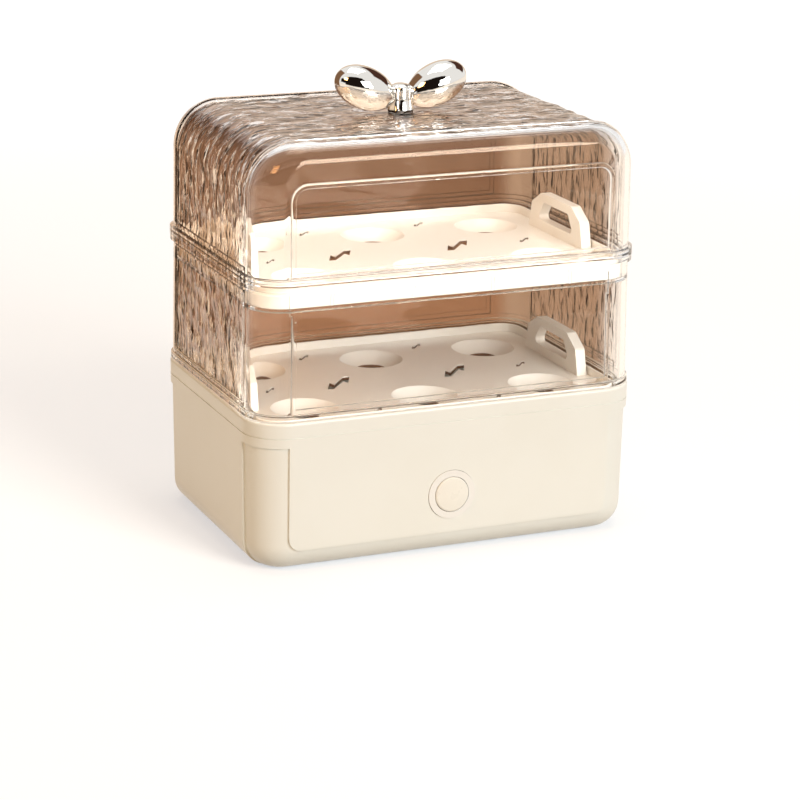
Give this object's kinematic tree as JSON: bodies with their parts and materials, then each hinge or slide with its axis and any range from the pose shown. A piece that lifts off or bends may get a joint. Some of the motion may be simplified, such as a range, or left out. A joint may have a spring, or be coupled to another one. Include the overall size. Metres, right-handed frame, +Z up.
{
  "type": "electric egg cooker",
  "caption": "Stacking electric egg cooker: cream base with a round push button, egg trays, clear rippled steam ring and lid, chrome bow handle.",
  "frame": {"origin": "bottom centre of the whole cooker, on the table", "axes": "+X to the right as the button is seen, +Y to the back, +Z up"},
  "size_m": [0.1856, 0.132, 0.212],
  "materials": {
    "cream_plastic": "smooth moulded, satin gloss",
    "tray_plastic": "smooth moulded, satin gloss",
    "clear_plastic": "clear, faintly warm, water-ripple pattern inside the end panels",
    "milky_plastic": "translucent milky, satin",
    "bow_chrome": "polished plating",
    "cover_plastic": "fine-grained moulded",
    "foot_rubber": "soft moulded rubber",
    "silicone": "soft silicone",
    "screw_steel": "zinc-plated steel",
    "plate_steel": "brushed stainless steel",
    "pressed_steel": "rolled sheet steel",
    "element_tube": "drawn tube, dull",
    "fuse_can": "drawn can",
    "spring_steel": "drawn wire",
    "board_green": "lacquered laminate",
    "dark_plastic": "moulded phenolic",
    "white_plastic": "moulded nylon",
    "lamp_lens": "clear epoxy lens",
    "wire_sleeve": "woven heat-proof sleeving"
  },
  "bodies": {
    "base": {"base_shell": "cream_plastic", "upper_housing": "cream_plastic", "bottom_cover": "cover_plastic", "cover_screws": "screw_steel", "feet": "foot_rubber", "heating_plate": "plate_steel", "plate_gasket": "silicone", "clamp_ring": "pressed_steel", "clamp_studs": "screw_steel", "clamp_nuts": "screw_steel", "heating_element": "element_tube", "thermostat": "dark_plastic", "thermostat_strap": "pressed_steel", "thermal_fuse": "fuse_can", "light_ring": "milky_plastic", "return_spring": "spring_steel", "control_board": "board_green", "board_screws": "screw_steel", "push_switch": "dark_plastic", "indicator_lamps": "lamp_lens", "cord_gland": "cover_plastic", "gland_nut": "cover_plastic", "terminal_block": "white_plastic", "terminal_screws": "screw_steel", "board_wire": "wire_sleeve", "element_wire": "wire_sleeve", "fuse_wire": "wire_sleeve", "link_wire": "wire_sleeve"},
    "button": {"button_cap": "cream_plastic", "stem_clip": "screw_steel", "switch_plunger": "white_plastic"},
    "lower_tray": {"lower_tray": "tray_plastic"},
    "ring": {"steam_ring": "clear_plastic"},
    "upper_tray": {"upper_tray": "tray_plastic"},
    "lid": {"lid": "clear_plastic", "bow_handle": "bow_chrome", "handle_washer": "silicone", "handle_screw": "screw_steel"}
  },
  "joints": [
    {"name": "button_press", "type": "slide", "parent": "base", "child": "button", "axis": [0, 1, 0], "range_m": [0, 0.0015], "stiffness_N_per_m": 600, "springref_m": -0.003, "deforming": ["return_spring"]},
    {"name": "lower_tray_lift", "type": "slide", "parent": "base", "child": "lower_tray", "axis": [0, 0, 1], "range_m": [0, 0.04]},
    {"name": "ring_lift", "type": "slide", "parent": "lower_tray", "child": "ring", "axis": [0, 0, 1], "range_m": [0, 0.08]},
    {"name": "upper_tray_lift", "type": "slide", "parent": "ring", "child": "upper_tray", "axis": [0, 0, 1], "range_m": [0, 0.04]},
    {"name": "lid_lift", "type": "slide", "parent": "upper_tray", "child": "lid", "axis": [0, 0, 1], "range_m": [0, 0.08]}
  ]
}
